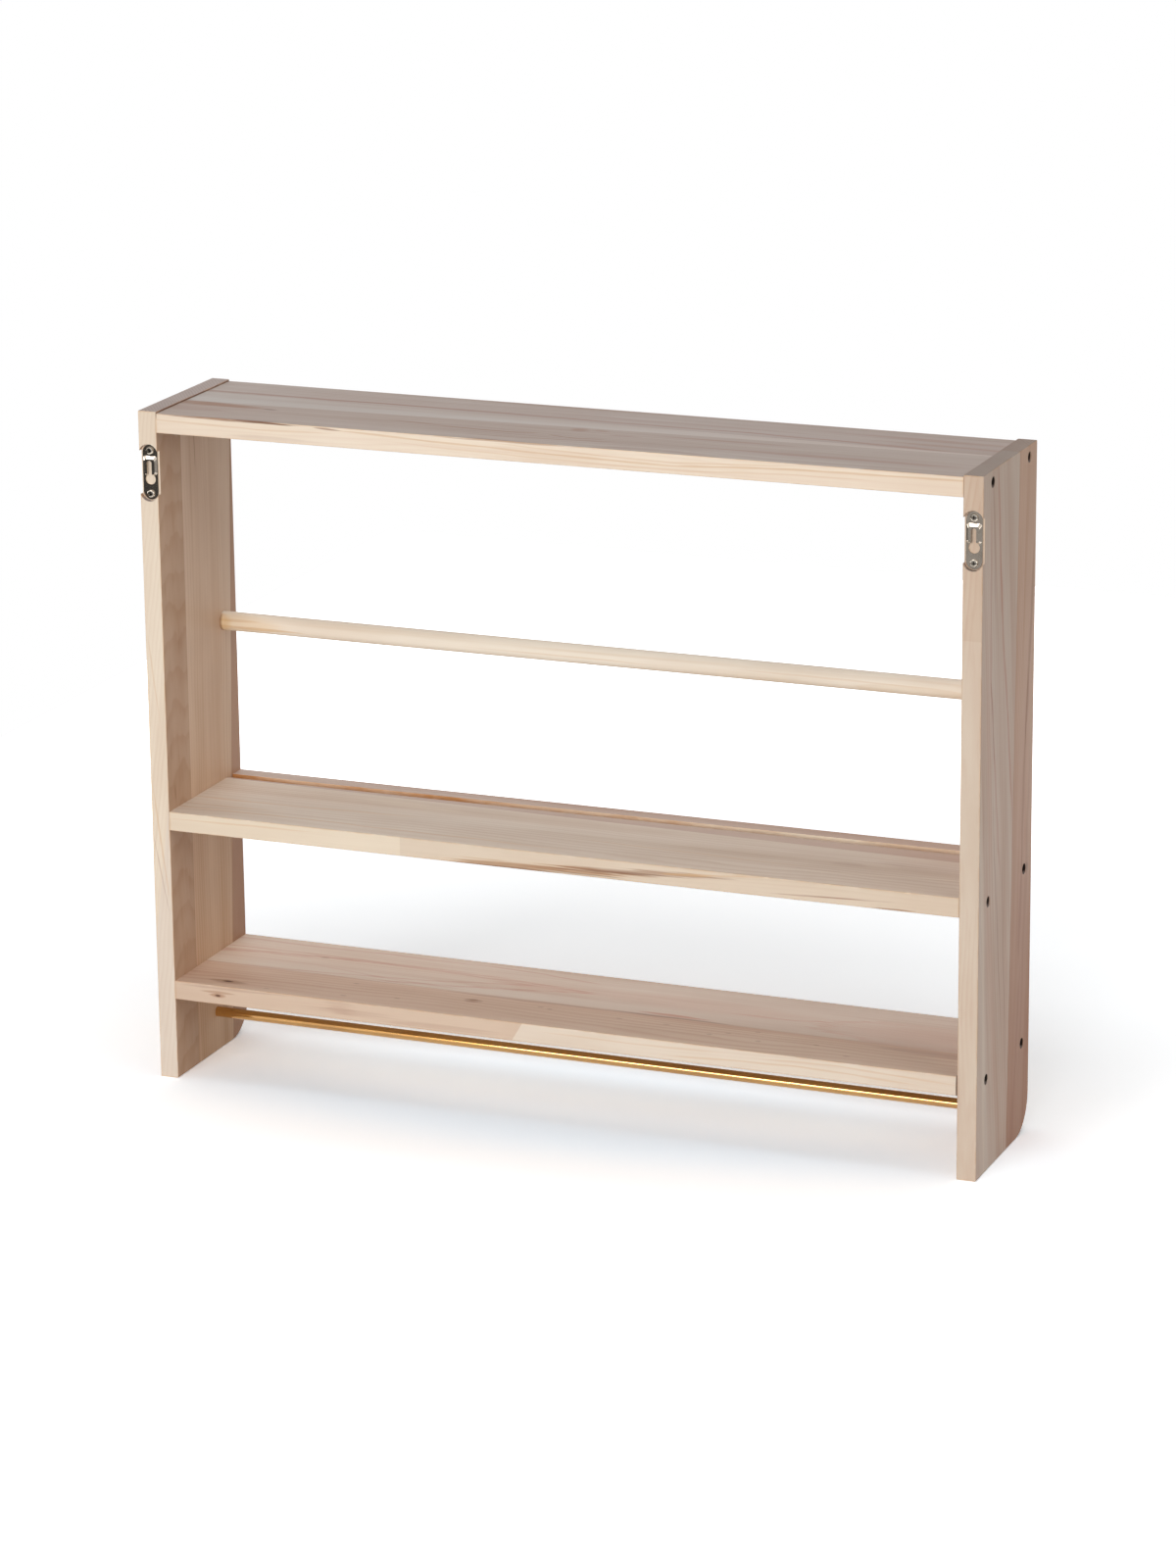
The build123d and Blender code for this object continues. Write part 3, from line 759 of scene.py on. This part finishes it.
def dress_left_panel():
    """Two staves, red veins that lean to the back as they rise, and painted shade in the screw recesses."""
    board = Board("side_panel_left", "Z")
    staves = [
        stave(ROSEWOOD, drift=ROSEWOOD_SHADE, tint=ROSE_TINT, lean=-0.05, bands=0.80),
        stave(MUSHROOM, (-0.0265, -0.0115), tint=ROSE_TINT, lean=0.12, bands=0.48)]
    first = [(0.0535, 0.600), (0.0510, 0.511), (0.0480, 0.446), (0.0400, 0.401), (0.0285, 0.336),
             (0.0185, 0.276)]
    second = [(0.0335, 0.630), (0.0260, 0.556), (0.0170, 0.491), (0.0010, 0.411), (-0.0165, 0.316)]
    third = [(-0.0700, 0.530), (-0.0590, 0.426), (-0.0530, 0.376), (-0.0465, 0.256), (-0.0415, 0.180)]
    marks = []
    for tone, points, width, strength in (
            (STREAK_VEIN, first, 0.0032, 0.36),
            (STREAK_RED, [(0.0475, 0.445), (0.0415, 0.408), (0.0360, 0.376)], 0.0020, 0.45),
            (STREAK_VEIN, second, 0.0034, 0.50),
            (STREAK_RED, third, 0.0055, 0.42),
            (BROWN_STREAK_AND_SHADE, [(-0.0565, 0.430), (-0.0545, 0.392), (-0.0530, 0.366)], 0.0018, 0.55),
            (STREAK_RED, [(-0.0440, 0.150), (-0.0350, 0.071), (-0.0265, -0.010)], 0.0040, 0.30)):
        marks += board.vein(tone, "left", points, width, strength)
    for start, end, width, strength in (
            ((0.0440, 0.370), (0.0040, 0.090), 0.0024, 0.28),
            ((0.0520, 0.650), (0.0340, 0.480), 0.0036, 0.25),
            ((0.0160, 0.310), (-0.0100, 0.040), 0.0026, 0.25),
            ((-0.0700, 0.386), (-0.0440, 0.036), 0.0060, 0.25)):
        marks.append(board.streak(STREAK_RED, "left", start, end, width, strength, 0.8))
    for start, end, width in (
            ((0.0660, 0.620), (0.0400, 0.200), 0.0110), ((0.0620, 0.330), (0.0200, 0.010), 0.0120)):
        marks.append(board.streak(STREAK_ROSE, "left", start, end, width, 0.10, 0.8))
    marks += board.vein(PALE_CREAM, "left", [(0.0735, 0.370), (0.0610, 0.186), (0.0535, 0.000)], 0.0060, 0.22)
    edge = [(OAT,), (BISCUIT, 0.491 - board.middle[2], 0.0)]
    # painted shade in the screw recesses
    marks += recess_shade_marks("side_panel_left")
    dress("side_panel_left", board.finish(staves, edge, marks, end_grain=END_BROWN))


def dress_right_panel():
    """Three staves, the one at the back with curled rings, painted shade in the screw recesses, and a painted
    shade line just above the top shelf.
    """
    board = Board("side_panel_right", "Z")
    inner = board.low[0]
    staves = [
        stave(DARK_ROSE, tint=RED_TINT),
        stave(WHEAT, (-0.0754, -0.0425), drift=WHEAT_SHADE, bands=0.40),
        stave(ACORN, (0.028, 0.031), dive=-0.133, rings=0.26, bands=0.24, heart=(0.045, -0.2),
              spacing=0.0042, curl=0.9)]
    marks = [
        board.streak(BROWN_STREAK_AND_SHADE, "left", (0.002, 0.630), (0.000, 0.560), 0.0016, 0.40),
        mark(BROWN_STREAK_AND_SHADE, (inner, 0.062, 0.275), (MARK_DEPTH, 0.0022, 0.010), strength=0.5),
        # painted shade: a dark line on the panel's inner face just above the top shelf
        mark(DARK_STREAK_AND_SHADE, (inner, 0.0, 0.6340), (0.0008, 0.300, 0.0030), ragged=0.0, pointed=False),
        board.streak(STREAK_GOLD, "back", (0.4000, 0.300), (0.3835, 0.165), 0.0014, 0.40),
        board.streak(STREAK_RED, "back", (0.4010, 0.245), (0.3830, 0.150), 0.0010, 0.25),
        board.streak(STREAK_GOLD, "back", (0.4000, 0.440), (0.3860, 0.330), 0.0012, 0.28)]
    edge = [(LINEN_SHADE,), (LINEN, 0.20 - board.middle[2], 7.5)]
    # the marks include painted shade in the screw recesses
    dress("side_panel_right", board.finish(staves, edge, marks + recess_shade_marks("side_panel_right")))


def dress_rail():
    """A dowel with gold streaks, and painted shade where it enters the panels."""
    board = Board("plate_rail", "X")
    marks = [
        board.streak(STREAK_GOLD, "back", (0.400, 0.4090), (0.290, 0.4085), 0.0022, 0.50),
        board.streak(STREAK_GOLD, "back", (0.400, 0.4150), (0.330, 0.4155), 0.0016, 0.40),
        board.streak(STREAK_GOLD, "back", (0.150, 0.4110), (-0.080, 0.4100), 0.0012, 0.22),
        board.streak(STREAK_GOLD, "back", (-0.100, 0.4140), (-0.340, 0.4125), 0.0012, 0.22),
        board.spot(RAIL_GOLD, "back", (0.385, 0.412), (0.085, 0.030), 0.30, 0.6),
        board.spot(RAIL_GOLD, "back", (0.385, 0.412), (0.018, 0.030), 0.50, 0.6)]
    # painted shade: a dark ring where the rail enters each panel
    shade = (0.0030, 0.030)
    for end in (-0.382, 0.382):
        marks.append(board.spot(BROWN_STREAK_AND_SHADE, "back", (end, 0.412), shade, 0.70, 0.0, pointed=False))
    dowel = stave(RAIL_CREAM, tint=GOLD_TINT, rings=0.30, bands=0.35)
    dress("plate_rail", board.finish([dowel], marks=marks))


def brass():
    """A drawn brass rod: fine lines along it and a slight tarnish."""
    finish = Finish("brass")
    place = finish.place()
    lines = finish.noise(place, BRASS_LINES, detail=3.0)
    tarnish = finish.ease(finish.noise(place, TARNISH_REPEATS, detail=3.0), *TARNISH_SPAN)
    tone = finish.blend(tarnish, BRASS_LIGHT, BRASS_DULL)
    finish.bump(lines, SCRATCH_DEPTH, BRASS_LINE_STRENGTH)
    roughness = finish.math("MULTIPLY_ADD", lines, BRASS_LINE_ROUGHNESS, BRASS_ROUGHNESS)
    finish.shine(Base_Color=tone, Metallic=BRASS_METALLIC, Roughness=roughness)
    finish.shine(Coat_Weight=1.0, Coat_Roughness=BRASS_COAT_ROUGHNESS, Coat_IOR=BRASS_COAT_IOR)
    return finish.material


def nickel(name, light, dull, roughness):
    """Plated steel: tumbled, with faint cloudy patches and small scratches."""
    finish = Finish(name)
    place = finish.place()
    patches = finish.ease(finish.noise(place, PATCH_REPEATS), *PATCH_SPAN)
    scratches = finish.noise(place, SCRATCH_REPEATS)
    finish.shine(Base_Color=finish.blend(patches, light, dull), Metallic=1.0)
    finish.shine(Roughness=finish.math("MULTIPLY_ADD", scratches, SCRATCH_ROUGHNESS, roughness))
    finish.bump(scratches, SCRATCH_DEPTH, SCRATCH_STRENGTH)
    return finish


def paint_cross_shade(finish, screw):
    """Paint shade into the cross of a screw's head, which is deeper than its crown and near its middle."""
    low, high = (Vector(corner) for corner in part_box(screw))
    crown = ((low[0] + high[0]) / 2, high[1], (low[2] + high[2]) / 2)
    offset = finish.vector("SUBTRACT", finish.place(), crown).outputs[0]
    flat = finish.vector("MULTIPLY", offset, (1.0, 0.0, 1.0)).outputs[0]
    middle = finish.ease(finish.vector("LENGTH", flat).outputs["Value"], *CROSS_RADII)
    height = finish.node("ShaderNodeSeparateXYZ", {0: offset}).outputs[1]
    deep = finish.ease(height, *CROSS_DEPTHS)
    tone = finish.surface.inputs["Base Color"].links[0].from_socket
    finish.shine(Base_Color=finish.blend(finish.math("MULTIPLY", middle, deep), tone, PAINTED_RECESS_SHADE))


def dress_metal():
    """The rod in brass, the keyhole plates and their screws in nickel, the shelf screws in dark steel."""
    dress("hook_rod", brass())
    plate = nickel("plate_nickel", PLATE_LIGHT, PLATE_DULL, PLATE_ROUGHNESS)
    steel = nickel("screw_steel", STEEL_LIGHT, STEEL_DULL, STEEL_ROUGHNESS)
    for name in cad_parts:
        if name.startswith("hanger_plate"):
            dress(name, plate.material)
        elif name.startswith("hanger_screw"):
            head = nickel(name + "_nickel", HEAD_LIGHT, HEAD_DULL, HEAD_ROUGHNESS)
            # painted shade in the head's cross
            paint_cross_shade(head, name)
            dress(name, head.material)
        elif name.startswith("shelf_screw"):
            dress(name, steel.material)


def link_into_scene(name, data):
    holder = bpy.data.objects.new(name, data)
    bpy.context.scene.collection.objects.link(holder)
    return holder


def add_camera():
    data = bpy.data.cameras.new("camera")
    data.lens = CAMERA_LENS
    data.sensor_width = CAMERA_SENSOR
    camera = link_into_scene("camera", data)
    camera.location = CAMERA_PLACE
    sight = Vector(CAMERA_AIM) - Vector(CAMERA_PLACE)
    roll = Quaternion((0.0, 0.0, 1.0), math.radians(CAMERA_ROLL))
    camera.rotation_mode = "QUATERNION"
    camera.rotation_quaternion = sight.to_track_quat("-Z", "Y") @ roll
    bpy.context.scene.camera = camera


def add_softbox(name, place, size, level):
    """A soft rectangular lamp that faces the object and that the camera does not see."""
    lamp = bpy.data.lights.new(name, "AREA")
    lamp.shape = "RECTANGLE"
    lamp.size, lamp.size_y = size
    back = Vector(place) - Vector(LAMP_AIM)
    lamp.energy = level * (math.pi * back.length) ** 2
    holder = link_into_scene(name, lamp)
    holder.location = place
    holder.rotation_mode = "QUATERNION"
    holder.rotation_quaternion = back.to_track_quat("Z", "Y")
    holder.visible_camera = False
    return holder


def light_only(lamp, pieces):
    """Let a lamp light these pieces alone, so that it throws no second shadow."""
    lit = bpy.data.collections.new(lamp.name + "_receivers")
    for piece in pieces:
        lit.objects.link(piece)
    lamp.light_linking.receiver_collection = lit


def seen(tree):
    """1 for the rays that show the background: from the camera, off metal and through glass."""
    path = tree.nodes.new("ShaderNodeLightPath").outputs
    total = path["Is Camera Ray"]
    for name in ("Is Glossy Ray", "Is Transmission Ray"):
        both = tree.nodes.new("ShaderNodeMath")
        both.operation = "MAXIMUM"
        feed(tree, both.inputs[0], total)
        feed(tree, both.inputs[1], path[name])
        total = both.outputs[0]
    return total


def add_ramp(tree, value, reach, levels):
    """A straight change from one level to another over a reach of the value."""
    ramp = tree.nodes.new("ShaderNodeMapRange")
    feed(tree, ramp.inputs["Value"], value)
    for number, end in enumerate(("Min", "Max")):
        feed(tree, ramp.inputs["From " + end], reach[number])
        feed(tree, ramp.inputs["To " + end], levels[number])
    return ramp.outputs[0]


def add_sky():
    """White where seen, soft light elsewhere, and for metal a floor past the paper that darkens aside."""
    world = bpy.data.worlds.new("studio")
    world.use_nodes = True
    bpy.context.scene.world = world
    tree = world.node_tree
    path = tree.nodes.new("ShaderNodeLightPath").outputs
    toward = tree.nodes.new("ShaderNodeSeparateXYZ")
    tree.links.new(tree.nodes.new("ShaderNodeTexCoord").outputs["Generated"], toward.inputs[0])
    floor = add_ramp(tree, toward.outputs["X"], FLOOR_TURN, FLOOR_LEVELS)
    view = add_ramp(tree, toward.outputs["Z"], HORIZON, (floor, 1.0))
    level = SKY_LEVEL
    for share, value in ((seen(tree), 1.0), (path["Is Glossy Ray"], view)):
        choice = tree.nodes.new("ShaderNodeMix")
        for name, source in (("Factor", share), ("A", level), ("B", value)):
            feed(tree, choice.inputs[name], source)
        level = choice.outputs["Result"]
    background = tree.nodes["Background"]
    background.inputs["Color"].default_value = WHITE
    tree.links.new(level, background.inputs["Strength"])


def oval(finish, middle, half, span):
    """A share from 0 to 1, over a span of the way from an oval's middle on the floor, where 1 is its rim."""
    offset = finish.vector("SUBTRACT", finish.place(), (*middle, 0.0)).outputs[0]
    share = finish.vector("DIVIDE", offset, (*half, 1.0)).outputs[0]
    return finish.ease(finish.vector("LENGTH", share).outputs["Value"], *span)


def add_paper():
    """White paper on the floor, which takes the shadow, runs out into the white and is clear from below;
    painted light trims and lifts the shadow, and a painted cooler white sits under the object.
    """
    (left, front), (right, back) = PAPER_LOW, PAPER_HIGH
    corners = [(left, front, 0), (right, front, 0), (right, back, 0), (left, back, 0)]
    mesh = bpy.data.meshes.new("paper")
    mesh.from_pydata(corners, [], [(0, 1, 2, 3)])
    paper = link_into_scene("paper", mesh)
    finish = Finish("paper_white")
    shown = seen(finish.tree)
    under = oval(finish, UNDER_MIDDLE, UNDER_HALF, UNDER_SPAN)
    white = finish.blend(under, PAPER_SEEN_WHITE, UNDER_WHITE)
    tone = finish.blend(shown, PAPER_WHITE, white)
    finish.shine(Base_Color=tone, Roughness=1.0, Specular_IOR_Level=0.0)
    light = oval(finish, FADE_MIDDLE, FADE_HALF, FADE_SPAN)
    # painted light that trims and lifts the object's shadow
    painted_glow = oval(finish, GLOW_MIDDLE, GLOW_HALF, GLOW_SPAN)
    painted_lift = oval(finish, LIFT_MIDDLE, LIFT_HALF, LIFT_SPAN)
    light = finish.math("MULTIPLY_ADD", painted_glow, GLOW_LEVEL, light)
    light = finish.math("MULTIPLY_ADD", painted_lift, LIFT_LEVEL, light)
    finish.shine(Emission_Color=WHITE, Emission_Strength=finish.math("MULTIPLY", shown, light))
    behind = finish.node("ShaderNodeNewGeometry").outputs["Backfacing"]
    clear = finish.node("ShaderNodeBsdfTransparent").outputs[0]
    layers = {0: behind, 1: finish.surface.outputs[0], 2: clear}
    cover = finish.node("ShaderNodeMixShader", layers).outputs[0]
    feed(finish.tree, finish.tree.nodes["Material Output"].inputs["Surface"], cover)
    mesh.materials.append(finish.material)
    return paper


def light_studio(paper):
    """A key lamp for all, four lamps for the object, one for the paper, and two that make metal shine."""
    pieces = list(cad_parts.values())
    add_softbox("key_light", KEY_PLACE, KEY_SIZE, KEY_LEVEL).visible_glossy = False
    light_only(add_softbox("side_light", SIDE_PLACE, SIDE_SIZE, SIDE_LEVEL), pieces)
    light_only(add_softbox("fill_light", FILL_PLACE, FILL_SIZE, FILL_LEVEL), pieces)
    light_only(add_softbox("overhead_light", OVERHEAD_PLACE, OVERHEAD_SIZE, OVERHEAD_LEVEL), pieces)
    front = add_softbox("front_light", FRONT_PLACE, FRONT_SIZE, FRONT_LEVEL)
    front.visible_glossy = False
    light_only(front, pieces)
    light_only(add_softbox("top_light", TOP_PLACE, TOP_SIZE, TOP_LEVEL), [paper])
    plates = [piece for name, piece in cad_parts.items() if name.startswith("hanger")]
    light_only(add_softbox("glint_light", GLINT_PLACE, GLINT_SIZE, GLINT_LEVEL), plates)
    shine = add_softbox("rod_light", ROD_PLACE, ROD_SIZE, ROD_LEVEL)
    shine.visible_diffuse = False
    light_only(shine, [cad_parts["hook_rod"]])


dress_top_shelf()
dress_middle_shelf()
dress_lower_shelf()
dress_left_panel()
dress_right_panel()
dress_rail()
dress_metal()
add_camera()
add_sky()
light_studio(add_paper())
bpy.context.scene.view_settings.view_transform = "Standard"
